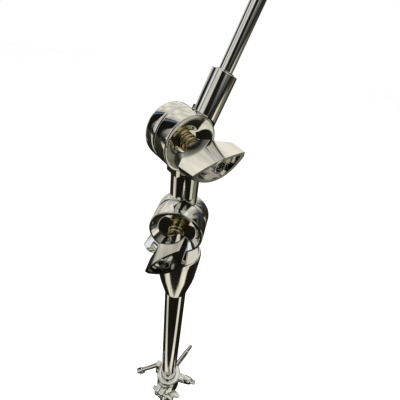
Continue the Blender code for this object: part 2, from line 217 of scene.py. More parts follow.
# Zinc plate on turned steel: grey with a satin drag from the tool.
ZINC = Finish("zinc_plated_steel", "#B9BBBD", "#9FA1A4", 0.26, 0.07, 1.0,
              Surface.BRUSHED, 0.6, 0.08)
# Polished brass, warmed and slightly tarnished in the hollows.
BRASS = Finish("polished_brass", "#D9CB9C", "#BFAE78", 0.2, 0.06, 1.0,
               Surface.POLISHED, 4.0, 0.012)
# Moulded black rubber, matt with a fine grain.
RUBBER = Finish("moulded_rubber", "#1C1C1D", "#262627", 0.72, 0.08, 0.0,
                Surface.MOULDED, 0.5, 0.25)
# Pressed wool felt: short crossed fibres and no gloss.
FELT = Finish("pressed_wool_felt", "#4B4844", "#36332F", 0.95, 0.04, 0.0,
              Surface.FIBROUS, 0.35, 0.6, sheen=0.35)
# Moulded nylon: black with a soft, slightly oily gloss.
NYLON = Finish("moulded_nylon", "#202022", "#2B2B2E", 0.42, 0.06, 0.0,
               Surface.MOULDED, 0.8, 0.12)


# ---- shapes

def rounded(points: Profile, radius: float, closed: bool = False, steps: int = 4) -> Profile:
    """Round a profile's corners.

    Args:
        points: The corners.
        radius: The corner radius, cut down where an edge is short.
        closed: Whether the last point joins the first.
        steps: Segments in each corner.

    Returns:
        The rounded profile.
    """
    out: Profile = []
    count = len(points)
    for index, (x, y) in enumerate(points):
        if not closed and index in (0, count - 1):
            out.append((x, y))
            continue
        here = Vector((x, y))
        before = Vector(points[index - 1]) - here
        after = Vector(points[(index + 1) % count]) - here
        if before.length < 1e-6 or after.length < 1e-6:
            out.append((x, y))
            continue
        reach = min(radius, 0.45 * before.length, 0.45 * after.length)
        start, end = here + before.normalized() * reach, here + after.normalized() * reach
        for step in range(steps + 1):
            t = step / steps
            mixed = start * (1 - t) ** 2 + here * 2 * t * (1 - t) + end * t ** 2
            out.append((mixed.x, mixed.y))
    return out


def raw(name: str, bm: bmesh.types.BMesh, matrix: Matrix) -> bpy.types.Object:
    """Make a working object from a mesh in millimetres, placed by its vertices."""
    bmesh.ops.transform(bm, matrix=Matrix.Scale(MM, 4) @ matrix, verts=bm.verts)
    bmesh.ops.recalc_face_normals(bm, faces=bm.faces)
    mesh = bpy.data.meshes.new(name)
    bm.to_mesh(mesh)
    bm.free()
    obj = bpy.data.objects.new(name, mesh)
    bpy.context.scene.collection.objects.link(obj)
    return obj


def lathe(points: Profile, matrix: Matrix, ring: bool = False, soft: float = 0.0,
          sides: int = SIDES) -> bpy.types.Object:
    """Turn a profile of (radius, height) about Z.

    Args:
        points: The profile; an open one starts and ends on the axis.
        matrix: Where the turned piece goes.
        ring: Whether the profile is closed and stays off the axis.
        soft: The radius of its rounded corners.
        sides: Steps around.

    Returns:
        A working object.
    """
    outline = rounded(points, soft, closed=ring) if soft else list(points)
    bm = bmesh.new()
    rows = []
    for radius, height in outline:
        if radius < 1e-5:
            rows.append([bm.verts.new((0, 0, height))])
        else:
            rows.append([bm.verts.new((radius * math.cos(2 * math.pi * k / sides),
                                       radius * math.sin(2 * math.pi * k / sides), height))
                         for k in range(sides)])
    pairs = list(zip(rows, rows[1:])) + ([(rows[-1], rows[0])] if ring else [])
    for one, two in pairs:
        for k in range(sides):
            n = (k + 1) % sides
            loop = [one[k % len(one)], one[n % len(one)], two[n % len(two)], two[k % len(two)]]
            kept = [v for i, v in enumerate(loop) if v not in loop[:i]]
            if len(kept) > 2:
                bm.faces.new(kept)
    return raw("turned", bm, matrix)


def rod(radius: float, low: float, high: float, matrix: Matrix, soft: float = 0.0,
        top: Optional[float] = None, sides: int = SIDES) -> bpy.types.Object:
    """A capped cylinder or cone along Z."""
    upper = radius if top is None else top
    return lathe([(0, high), (upper, high), (radius, low), (0, low)], matrix, soft=soft,
                 sides=sides)


def slab(outline: Profile, low: float, high: float, matrix: Matrix,
         soft: float = 0.0) -> bpy.types.Object:
    """A flat outline in XY, thick from low to high."""
    corners = rounded(outline, soft, closed=True) if soft else list(outline)
    bm = bmesh.new()
    under = [bm.verts.new((x, y, low)) for x, y in corners]
    over = [bm.verts.new((x, y, high)) for x, y in corners]
    bm.faces.new(under)
    bm.faces.new(over)
    for k in range(len(corners)):
        n = (k + 1) % len(corners)
        bm.faces.new((under[k], under[n], over[n], over[k]))
    return raw("slab", bm, matrix)


def block(low: Sequence[float], high: Sequence[float], matrix: Matrix,
          soft: float = 0.0) -> bpy.types.Object:
    """A box with its upright edges rounded."""
    outline = [(low[0], low[1]), (high[0], low[1]), (high[0], high[1]), (low[0], high[1])]
    return slab(outline, low[2], high[2], matrix, soft)


def loft(rows: List[List[Tuple[float, float, float]]], matrix: Matrix) -> bpy.types.Object:
    """Skin a run of closed sections that have the same count of points."""
    bm = bmesh.new()
    made = [[bm.verts.new(p) for p in row] for row in rows]
    for one, two in zip(made, made[1:]):
        for k in range(len(one)):
            n = (k + 1) % len(one)
            bm.faces.new((one[k], one[n], two[n], two[k]))
    bm.faces.new(made[0])
    bm.faces.new(made[-1])
    return raw("loft", bm, matrix)


def settle(obj: bpy.types.Object) -> bpy.types.Object:
    """Apply an object's modifiers into its mesh."""
    bpy.context.view_layer.update()
    flat = obj.evaluated_get(bpy.context.evaluated_depsgraph_get())
    mesh = bpy.data.meshes.new_from_object(flat)
    obj.modifiers.clear()
    old = obj.data
    obj.data = mesh
    bpy.data.meshes.remove(old)
    return obj


def combine(obj: bpy.types.Object, others: Sequence[bpy.types.Object],
            operation: str) -> bpy.types.Object:
    """Boolean other objects into obj and remove them."""
    for other in others:
        mod = obj.modifiers.new("fit", "BOOLEAN")
        mod.operation, mod.object, mod.solver = operation, other, "EXACT"
    settle(obj)
    for other in others:
        bpy.data.objects.remove(other, do_unlink=True)
    return obj


def union(obj: bpy.types.Object, *others: bpy.types.Object) -> bpy.types.Object:
    """Fuse other working objects into obj."""
    return combine(obj, others, "UNION")


def carve(obj: bpy.types.Object, *others: bpy.types.Object) -> bpy.types.Object:
    """Cut other working objects out of obj."""
    return combine(obj, others, "DIFFERENCE")


def soften(obj: bpy.types.Object, width: float, angle: float = 38.0,
           segments: int = 2) -> bpy.types.Object:
    """Round the sharp edges of a working object by a width in millimetres."""
    mod = obj.modifiers.new("edges", "BEVEL")
    mod.width, mod.segments = width * MM, segments
    mod.limit_method, mod.angle_limit = "ANGLE", math.radians(angle)
    mod.harden_normals = False
    mod.miter_outer = "MITER_ARC"
    return settle(obj)


def finish_piece(obj: bpy.types.Object, name: str, finish: Finish, body: str,
                 nodes: Sequence[str], sharp: float = 32.0,
                 even: bool = False) -> bpy.types.Object:
    """Dress a working object and hand it to the frame.

    Args:
        obj: The working object.
        name: The piece's name.
        finish: Its finish.
        body: The CAD body that it rides on.
        nodes: The CAD nodes that it stands for, which it hides.
        sharp: The angle over which an edge is shaded sharp, in degrees.
        even: Whether broad faces keep their own shading up to their rounded edges.

    Returns:
        The finished piece.
    """
    obj.name = obj.data.name = name
    obj.data.materials.clear()
    obj.data.materials.append(finish.build())
    obj.data.shade_smooth()
    obj.data.set_sharp_from_angle(angle=math.radians(sharp))
    if even:
        obj.modifiers.new("even_shading", "WEIGHTED_NORMAL").keep_sharp = True
        settle(obj)
    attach(obj, body)
    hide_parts(*nodes)
    LOG.info("%s: %d faces, rides on %s", name, len(obj.data.polygons), body)
    return obj


# ---- repeated details

def circle_of(shape: bpy.types.Object, count: int, radius: float, matrix: Matrix,
              finish: Finish, name: str) -> bpy.types.Object:
    """Repeat a small shape round a circle with Geometry Nodes.

    Args:
        shape: The working object to repeat, at the origin with +X outwards; removed.
        count: How many.
        radius: The circle's radius in millimetres.
        matrix: Where the circle goes.
        finish: The finish that the tree sets.
        name: The new working object's name.

    Returns:
        A plain mesh object with the copies in place.
    """
    tree = bpy.data.node_groups.new("repeat_round", "GeometryNodeTree")
    face = tree.interface
    face.new_socket("Count", in_out="INPUT", socket_type="NodeSocketInt")
    face.new_socket("Radius", in_out="INPUT", socket_type="NodeSocketFloat")
    face.new_socket("Shape", in_out="INPUT", socket_type="NodeSocketObject")
    face.new_socket("Finish", in_out="INPUT", socket_type="NodeSocketMaterial")
    face.new_socket("Geometry", in_out="OUTPUT", socket_type="NodeSocketGeometry")
    given = add_node(tree, "NodeGroupInput").outputs
    ring = add_node(tree, "GeometryNodeMeshCircle", links={"Vertices": given["Count"],
                                                           "Radius": given["Radius"]})
    place = add_node(tree, "GeometryNodeInputPosition")
    aim = add_node(tree, "FunctionNodeAlignRotationToVector", {"axis": "X"},
                   {"Vector": place.outputs[0]})
    item = add_node(tree, "GeometryNodeObjectInfo", links={"Object": given["Shape"]})
    copies = add_node(tree, "GeometryNodeInstanceOnPoints",
                      links={"Points": ring.outputs[0], "Instance": item.outputs["Geometry"],
                             "Rotation": aim.outputs[0]})
    real = add_node(tree, "GeometryNodeRealizeInstances", links={0: copies.outputs[0]})
    dressed = add_node(tree, "GeometryNodeSetMaterial",
                       links={"Geometry": real.outputs[0], "Material": given["Finish"]})
    add_node(tree, "NodeGroupOutput", links={0: dressed.outputs[0]})
    holder = bpy.data.objects.new(name, bpy.data.meshes.new(name))
    bpy.context.scene.collection.objects.link(holder)
    mod = holder.modifiers.new("repeat", "NODES")
    mod.node_group = tree
    values = {"Count": count, "Radius": radius * MM, "Shape": shape, "Finish": finish.build()}
    for socket in face.items_tree:
        if socket.in_out == "INPUT":
            mod[socket.identifier] = values[socket.name]
    settle(holder)
    bpy.data.objects.remove(shape, do_unlink=True)
    place_to = Matrix.Scale(MM, 4) @ matrix @ Matrix.Scale(1 / MM, 4)
    holder.data.transform(place_to)
    return holder


# ---- frames

@dataclass(frozen=True)
class Layout:
    """The shared sizes and frames; a tilter's +Y is its bolt's axis, head end."""

    upper_z: float = 1450.0
    lower_z: float = 1374.0
    upper_turn: float = 42.0
    lower_turn: float = -7.0
    drum_x: float = -2.0
    drum_z: float = 3.0
    lean: float = 24.7

    @property
    def upper(self) -> Matrix:
        """The upper tilter's frame, on the tubes' axis."""
        return at(z=self.upper_z) @ turn(self.upper_turn)

    @property
    def lower(self) -> Matrix:
        """The lower tilter's frame."""
        return at(z=self.lower_z) @ turn(self.lower_turn)

    @property
    def upper_drum(self) -> Matrix:
        """The upper drum's axis as +Z, from front to back."""
        return self.upper @ at(self.drum_x, 0, self.drum_z) @ turn(-90, "X")

    @property
    def lower_drum(self) -> Matrix:
        """The lower drum's axis as +Z, from front to back."""
        return self.lower @ turn(-90, "X")

    @property
    def boom(self) -> Matrix:
        """The boom's axis as +Z."""
        return (self.upper @ at(self.drum_x, 0, self.drum_z) @ turn(self.lean, "Y")
                @ at(9.0, 2.0, 0))


LAYOUT = Layout()
WORLD = at()


# ---- pieces

@dataclass
class WingBolt:
    """A screw with a cast wing head; +Z points out of the head."""

    name: str
    place: Matrix
    shank: float
    reach: float = 21.0
    solid: bool = False

    def build(self) -> bpy.types.Object:
        """Shape and dress the bolt."""
        r = self.reach
        shank = rod(3.1, -self.shank, 2, self.place, 0.5, sides=48)
        hub = lathe([(0, 14), (4.6, 14), (6.2, 12), (7.2, 2), (7.2, 0), (0, 0)], self.place,
                    soft=1.2, sides=64)
        outline = [(-r, 9), (-r + 5, 3.5), (-5.5, 1.3), (5.5, 1.3), (r - 5, 3.5), (r, 9),
                   (r - 2.5, 21), (r - 7, 21), (5, 10.5), (-5, 10.5), (-r + 7, 21),
                   (-r + 2.5, 21)]
        if self.solid:
            outline = [(-5.6, 2.5), (5.6, 2.5), (12.5, 12), (11, 25), (-11, 25), (-12.5, 12)]
        wings = slab(outline, -2.0, 2.0, self.place @ turn(90, "X"), 3.0)
        soften(wings, 0.9, segments=3)
        union(shank, hub, wings)
        return finish_piece(shank, "wing_" + self.name, CAST_CHROME, self.name, [self.name])


@dataclass
class WingNut:
    """A deep die-cast wing nut: flat on top, bellied below, scooped round its hub."""

    name: str
    place: Matrix
    body: str
    half: float = 23.7
    front: float = -33.0
    rear: float = -4.8
    flat: float = 2.6
    blunt: float = 3.2
    belly: float = 10.8
    arch: float = 2.7
    knee: float = -19.0
    root: float = 5.2
    taper: float = 1.3

    def section(self, span: float, depth: float, inset: float = 0.0) -> list:
        """One lens section at a depth.

        Args:
            span: Half its width.
            depth: Where it stands along the bolt.
            inset: How far it is drawn in all round.

        Returns:
            Its points, once round.
        """
        reach = span / self.half
        top = self.flat - inset
        half = span - inset * 1.6
        low = (self.belly - inset) * (0.62 + 0.38 * reach)
        edge = top - self.blunt + inset * 1.2
        points = []
        for step in range(21):
            x = half * (step / 10.0 - 1.0)
            points.append((x, top + self.arch * (1.0 - (x / self.half) ** 2)))
        points.append((half, (top + edge) / 2))
        for step in range(25):
            x = math.cos(math.pi * step / 24.0)
            points.append((half * x, edge - (low + edge) * (1 - abs(x) ** 2.1)))
        points.append((-half, (top + edge) / 2))
        return [(x, y, depth) for x, y in points]

    def span_at(self, depth: float) -> float:
        """Half the width at a depth: parallel tips, then drawn in straight to the hub."""
        if depth <= self.knee:
            return self.half - self.taper * (self.knee - depth) / (self.knee - self.front)
        share = (depth - self.knee) / (self.rear - self.knee)
        return self.half + (self.root - self.half) * share

    def build(self) -> bpy.types.Object:
        """Shape and dress the nut."""
        depths = [self.front + (self.rear - self.front) * k / 28.0 for k in range(29)]
        body = loft([self.section(self.span_at(d), d) for d in depths], self.place)
        soften(body, 0.6, 40.0, 3)
        scoop = loft([self.section(self.half - 2.4, self.front - 3, 1.5),
                      self.section(self.half - 3.4, -27.5, 2.2)], self.place)
        carve(scoop, rod(5.5, self.front - 9, -10, self.place, sides=64))
        carve(body, scoop)
        hub = lathe([(0, -4.6), (4.3, -4.6), (4.6, -9), (4.9, -33.6), (0, -33.6)],
                    self.place, soft=0.6, sides=64)
        union(body, hub)
        bore = lathe([(0, 10), (3.6, 10), (3.6, -27), (3.7, -27.4), (4.2, -60), (0, -60)],
                     self.place, sides=64)
        carve(body, bore)
        return finish_piece(body, "cast_" + self.name, CAST_CHROME, self.body, [self.name],
                            sharp=36.0, even=True)


@dataclass
class TilterHardware:
    """Bolt, friction disc and brass collar on one clamp axis."""

    prefix: str
    drum: Matrix
    front: float
    part: float
    rear: float
    floor: float
    body: str

    def build(self) -> None:
        """Shape and dress the three pieces."""
        head, f = self.rear + 0.5, self.front
        bolt = lathe([(0, head + 4.0), (5, head + 3.6), (8.0, head + 1.2), (8.0, head),
                      (3.1, head), (3.1, f - 26), (0, f - 26)], self.drum, soft=0.6, sides=64)
        finish_piece(bolt, "turned_%s_bolt" % self.prefix, ZINC, self.body,
                     [self.prefix + "_bolt"])
        disc = lathe([(17.0, self.part + 1.4), (17.0, self.part - 1.0), (3.6, self.part - 1.0),
                      (3.6, self.part + 1.4)], self.drum, ring=True, soft=0.3, sides=64)
        finish_piece(disc, "lined_%s_disc" % self.prefix, NYLON, self.body,
                     [self.prefix + "_friction_disc"])
        back = f + self.floor
        collar = lathe([(7.2, back), (7.2, f + 2.6), (6.4, f + 2.2), (6.4, f - 0.6),
                        (5.7, f - 1.0), (5.7, f - 3.8), (3.6, f - 3.8), (3.6, back)],
                       self.drum, ring=True, soft=0.35, sides=96)
        finish_piece(collar, "turned_%s_collar" % self.prefix, BRASS, self.body,
                     [self.prefix + "_collar"])


def front_cutter(part: float, front: float, dish: Profile, drum: Matrix) -> bpy.types.Object:
    """Bolt hole, disc recess and dished face of a front half, as one cutter."""
    steps = [(r, front + depth) for r, depth in dish]
    smooth = rounded([(0, steps[0][1])] + steps, 1.2)[1:]
    return lathe([(0, part + 5), (17.5, part + 5), (17.5, part - 1.4), (3.6, part - 1.4),
                  (3.6, steps[0][1])] + smooth + [(dish[-1][0], front - 4), (0, front - 4)],
                 drum, sides=SIDES)


def rear_cutter(part: float, drum: Matrix) -> bpy.types.Object:
    """Bolt hole and disc recess of a rear half, as one cutter."""
    return lathe([(0, 40), (3.6, 40), (3.6, part + 1.4), (17.5, part + 1.4), (17.5, -20),
                  (0, -20)], drum, sides=SIDES)


@dataclass
class Castings:
    """The three chrome castings of the double tilter."""

    layout: Layout = LAYOUT
    upper_r: float = 22.8
    lower_r: float = 24.3
    upper: Tuple[float, float, float] = (-6.4, 8.0, 22.8)
    lower: Tuple[float, float, float] = (-22.6, -6.4, 10.4)
    gap: float = 0.4
    neck_r: float = 12.0

    def link(self) -> None:
        """Upper front half, neck and lower rear half in one casting."""
        lay = self.layout
        front, part, _ = self.upper
        _, low_part, low_rear = self.lower
        top = lay.upper_z
        neck = rod(self.neck_r, lay.lower_z + 14, top - 6, WORLD)
        carve(neck, block((-40, -40, -21), (40, front + 0.6, 40), lay.upper),
              rod(self.lower_r + 0.6, -40, low_part + self.gap + 0.3, lay.lower_drum),
              rod(self.upper_r + 0.6, part - 0.3, 40, lay.upper_drum),
              block((-40, -40, 5), (40, low_part + self.gap + 0.3, 30.3), lay.lower))
        disc = lathe([(0, part), (self.upper_r, part), (self.upper_r, front), (0, front)],
                     lay.upper_drum, soft=1.0, sides=128)
        web = block((-13.5, front + 0.3, -23), (12.5, part - 0.6, -4), lay.upper)
        foot = lathe([(0, low_rear), (self.lower_r, low_rear), (self.lower_r, low_part + self.gap),
                      (0, low_part + self.gap)], lay.lower_drum, soft=4.0, sides=128)
        union(neck, disc, web, foot)
        carve(neck, front_cutter(part, front, [(9.6, 6.5), (12.6, 4.0), (20.6, -0.1)],
                                 lay.upper_drum),
              rear_cutter(low_part + self.gap, lay.lower_drum))
        finish_piece(neck, "cast_tilter_link", CAST_CHROME, "tilter_link", ["tilter_link"])

    def cup(self) -> None:
        """Goblet, web and lower front half in one casting."""
        lay = self.layout
        front, part, _ = self.lower
        base = lay.lower_z
        top = base - 47.0
        goblet = lathe([(0, top - 1.5), (20.4, top - 1.5), (21.2, top), (22.6, top),
                        (23.6, top - 2), (23.4, top - 9), (22.3, top - 20), (21.1, top - 33),
                        (20.0, top - 44), (17.7, top - 55), (15.0, top - 66),
                        (13.4, top - 72.5), (0, top - 72.5)], WORLD,
                       soft=5.0, sides=128)
        # Seen from above the goblet is slightly oval, narrower from front to back.
        for vertex in goblet.data.vertices:
            out = math.hypot(vertex.co.x, vertex.co.y) / MM
            half_depth = 20.9 - 0.097 * (top - vertex.co.z / MM)
            vertex.co.y *= min(1.0, half_depth / max(out, 13.0))
        drum = lathe([(0, part), (self.lower_r, part), (self.lower_r, front), (0, front)],
                     lay.lower_drum, soft=1.1, sides=128)
        web = block((-12, -15.6, -56), (12, part - 0.5, -10), lay.lower, 2.0)
        union(goblet, drum, web)
        carve(goblet, front_cutter(part, front, [(9, 9), (17.5, 6.5), (22.0, -0.1)],
                                   lay.lower_drum),
              rod(13.15, 1220, 1314.4, WORLD),
              rod(3.6, 5, 40, at(z=1300) @ turn(139) @ turn(90, "Y"), sides=48))
        finish_piece(goblet, "cast_tilter_cup", CAST_CHROME, "tilter_cup", ["tilter_cup"])

    def holder(self) -> None:
        """Upper rear half and the boom sleeve in one casting."""
        lay = self.layout
        _, part, rear = self.upper
        r = self.upper_r
        drum = lathe([(0, rear), (r, rear), (r, part + self.gap), (0, part + self.gap)],
                     lay.upper_drum, soft=3.4, sides=128)
        sleeve = lathe([(0, 54.3), (9.7, 54.3), (9.7, 6), (0, 6)], lay.boom, soft=0.6)
        union(sleeve, block((-8, 0, 8), (8, 9.2, 26), lay.boom, 2.0))
        carve(sleeve, rod(r + 0.6, -40, part + self.gap + 0.3, lay.upper_drum, sides=128))
        union(drum, sleeve)
        carve(drum, rod(7.2, 26, 80, lay.boom), rear_cutter(part + self.gap, lay.upper_drum))
        finish_piece(drum, "cast_boom_holder", CAST_CHROME, "boom", ["boom_holder"])

    def build(self) -> None:
        """Build all three."""
        self.link()
        self.cup()
        self.holder()


@dataclass
class Tubes:
    """The three telescoping tubes and the rubber plug under them."""

    sizes: Dict[str, Tuple[float, float, float, float]] = field(default_factory=lambda: {
        "base_tube": (15.9, 14.75, 5.4, 590.0),
        "middle_tube": (14.3, 13.15, 300.0, 952.0),
        "upper_tube": (12.7, 11.5, 640.0, 1314.0)})

    def build(self) -> None:
        """Shape and dress the tubes and the plug."""
        for name, (outer, inner, low, high) in self.sizes.items():
            body = "base" if name == "base_tube" else name
            tube = lathe([(outer, high), (outer, low), (inner, low), (inner, high)], WORLD,
                         ring=True, soft=0.4)
            finish_piece(tube, "drawn_" + name, CHROME, body, [name])
        plug = lathe([(0, 24), (13.6, 24), (14.3, 22), (14.3, 5), (18.5, 5), (18.5, 1),
                      (17.5, 0), (0, 0)], WORLD, soft=0.6)
        carve(plug, circle_of(rod(0.9, -1, 7, WORLD, sides=12), 24, 18.9, WORLD, RUBBER,
                              "plug_flutes"))
        finish_piece(plug, "moulded_base_plug", RUBBER, "base", ["base_plug"])


@dataclass
class Clamp:
    """A split height clamp on a tube's top end."""

    name: str
    tube_r: float
    step: float
    neck_r: float
    top: float
    turned: float
    body: str

    def build(self) -> None:
        """Shape and dress the clamp and its wing bolt."""
        low, outer = self.top - 42.0, self.tube_r + 6.5
        step = self.step + 0.4
        ring = lathe([(outer - 2.5, self.top), (outer - 1.0, self.top - 3), (outer, low + 8),
                      (outer - 1.5, low), (self.tube_r + 0.4, low), (self.tube_r + 0.4, step),
                      (self.neck_r + 0.45, step), (self.neck_r + 0.45, self.top)], WORLD,
                     ring=True, soft=1.2)
        ear = at(z=self.top - 14) @ turn(self.turned)
        union(ring, soften(block((outer - 5, -9, -11), (outer + 12, 9, 11), ear, 3.5), 1.2))
        carve(ring, rod(3.6, -30, 30, ear @ at(outer + 5.5) @ turn(90, "X"), sides=48),
              block((outer - 9, -0.9, -30), (outer + 20, 0.9, 60), ear))
        finish_piece(ring, "cast_" + self.name, CAST_CHROME, self.body, [self.name])
        place = ear @ at(outer + 5.5, 14, 0) @ turn(-90, "X")
        WingBolt(self.name + "_bolt", place, 29.0, 17.0).build()


@dataclass
class MemoryLock:
    """The stop ring above the middle clamp, with its lever and screw."""

    z: float = 970.4
    screw_turn: float = 350.0

    def build(self) -> None:
        """Shape and dress the lock and its screw."""
        ring = lathe([(20, 978), (21, 976.5), (21, 964), (20, 962.6), (13.15, 962.6),
                      (13.15, 978)], WORLD, ring=True, soft=0.8)
        level = at(z=self.z)
        screw = level @ turn(self.screw_turn)
        ear = soften(block((16, -6, -7), (30, 6, 7), screw, 2.0), 1.0)
        post = soften(block((16.5, -5.5, -6.5), (24.5, 5.5, 29), level @ turn(165), 2.0), 1.2)
        handle = at(-20.3, 5.4, 993) @ turn(194.8) @ turn(115.4, "Y")
        grip = lathe([(0, 34), (3.9, 34), (3.5, 20), (4.4, 0), (0, 0)], handle, soft=2.0)
        end = soften(block((-5, -4.5, 31), (9, 4.5, 41), handle, 2.5), 1.6, segments=3)
        lever = at(11.5, 13.0, 973) @ turn(50.9) @ turn(54.4, "Y")
        arm = lathe([(0, 47), (3.2, 47), (3.2, 36), (4.2, 34), (4.4, 0), (0, 0)], lever,
                    soft=1.4)
        union(ring, ear, post, grip, end, arm)
        carve(ring, rod(3.6, 13, 40, screw @ turn(90, "Y"), sides=48),
              rod(13.15, 950, 1010, WORLD))
        finish_piece(ring, "cast_memory_lock", CAST_CHROME, "upper_tube", ["memory_lock"])
        place = screw @ at(30.5) @ turn(90, "Y") @ turn(28)
        WingBolt("memory_lock_bolt", place, 17.0, 13.0).build()


@dataclass
class Tripod:
    """Sliding collar, fixed collar, three legs with braces and rubber feet."""

    turns: Tuple[float, ...] = (278.0, 38.0, 158.0)
    pivot_r: float = 31.0
    leg_z: float = 347.0
    brace_z: float = 52.0
    spread: float = 39.1
    leg: float = 428.0
    brace: float = 190.0
    offset: float = 5.4

    @property
    def screw(self) -> Matrix:
        """The leg collar's screw frame: +X outwards, midway between two legs."""
        return at(z=self.leg_z) @ turn(self.turns[0] - 60)

    def collar(self, name: str, z: float, half: float, side: float, body: str) -> None:
        """Shape one three-lugged collar."""
        ring = lathe([(21.5, z + half), (22.5, z + half - 2), (22.5, z - half + 2),
                      (21.5, z - half), (16.35, z - half), (16.35, z + half)], WORLD,
                     ring=True, soft=0.8)
        for angle in self.turns:
            frame = turn(angle)
            lug = block((18, -9, -5.6), (37, 9, 5.6),
                        frame @ at(0, side, z) @ turn(90, "X"), 4.0)
            union(ring, lug)
            carve(ring, block((23.0, side - 2.6, -14), (44, side + 2.6, 14), frame @ at(z=z)),
                  rod(2.9, -12, 12, frame @ at(self.pivot_r, side, z) @ turn(90, "X"), sides=32))
        if name == "leg_collar":
            carve(ring, rod(3.6, 10, 40, self.screw @ turn(90, "Y"), sides=32))
        finish_piece(ring, "cast_" + name, CAST_CHROME, body, [name])

    def strip(self, name: str, length: float, side: float, thick: float, place: Matrix,
              body: str, nodes: Sequence[str]) -> None:
        """Shape one flat bar with its riveted pin."""
        bar = slab([(-5.8, 4.6), (5.8, 4.6), (5.8, -length), (-5.8, -length)],
                   side - thick / 2, side + thick / 2,
                   place @ Matrix(((1, 0, 0, 0), (0, 0, 1, 0), (0, 1, 0, 0), (0, 0, 0, 1))), 2.2)
        soften(bar, 0.5)
        pin = lathe([(0, side + 6.4), (2.4, side + 6.4), (2.4, side - 6.4), (0, side - 6.4)],
                    place @ turn(-90, "X"), soft=0.8, sides=32)
        union(bar, pin)
        finish_piece(bar, name, CHROME, body, nodes)

    def foot(self, number: int, angle: float, place: Matrix) -> None:
        """Shape one rubber foot round its leg's end."""
        outline = [(270, 0.0), (320, 0.0), (320, 9), (312, 26), (288, 56), (263, 42), (270, 8)]
        shoe = slab(outline, -9.0, 9.0, turn(angle) @ turn(90, "X"), 5.0)
        soften(shoe, 2.0, 40.0, 3)
        carve(shoe, block((-6.3, -2.6, -self.leg - 0.5), (6.3, 2.6, 0), place))
        finish_piece(shoe, "moulded_foot_%d" % number, RUBBER, "leg_%d" % number,
                     ["foot_%d" % number])

    def build(self) -> None:
        """Build the whole tripod."""
        self.collar("leg_collar", self.leg_z, 13.0, 0.0, "leg_collar")
        self.collar("brace_collar", self.brace_z, 11.0, self.offset, "base")
        for index, angle in enumerate(self.turns):
            n = index + 1
            leg = turn(angle) @ at(self.pivot_r, 0, self.leg_z) @ turn(-self.spread, "Y")
            brace = (turn(angle) @ at(self.pivot_r, 0, self.brace_z)
                     @ turn(180 + self.spread, "Y"))
            self.strip("pressed_leg_%d" % n, self.leg, 0.0, 4.2, leg, "leg_%d" % n,
                       ["leg_%d" % n])
            self.strip("pressed_brace_%d" % n, self.brace + 7, self.offset, 3.6, brace,
                       "brace_%d" % n, ["brace_%d" % n])
            self.foot(n, angle, leg)
        WingBolt("leg_collar_bolt", self.screw @ at(24.0) @ turn(90, "Y") @ turn(9), 4.6,
                 19.0).build()


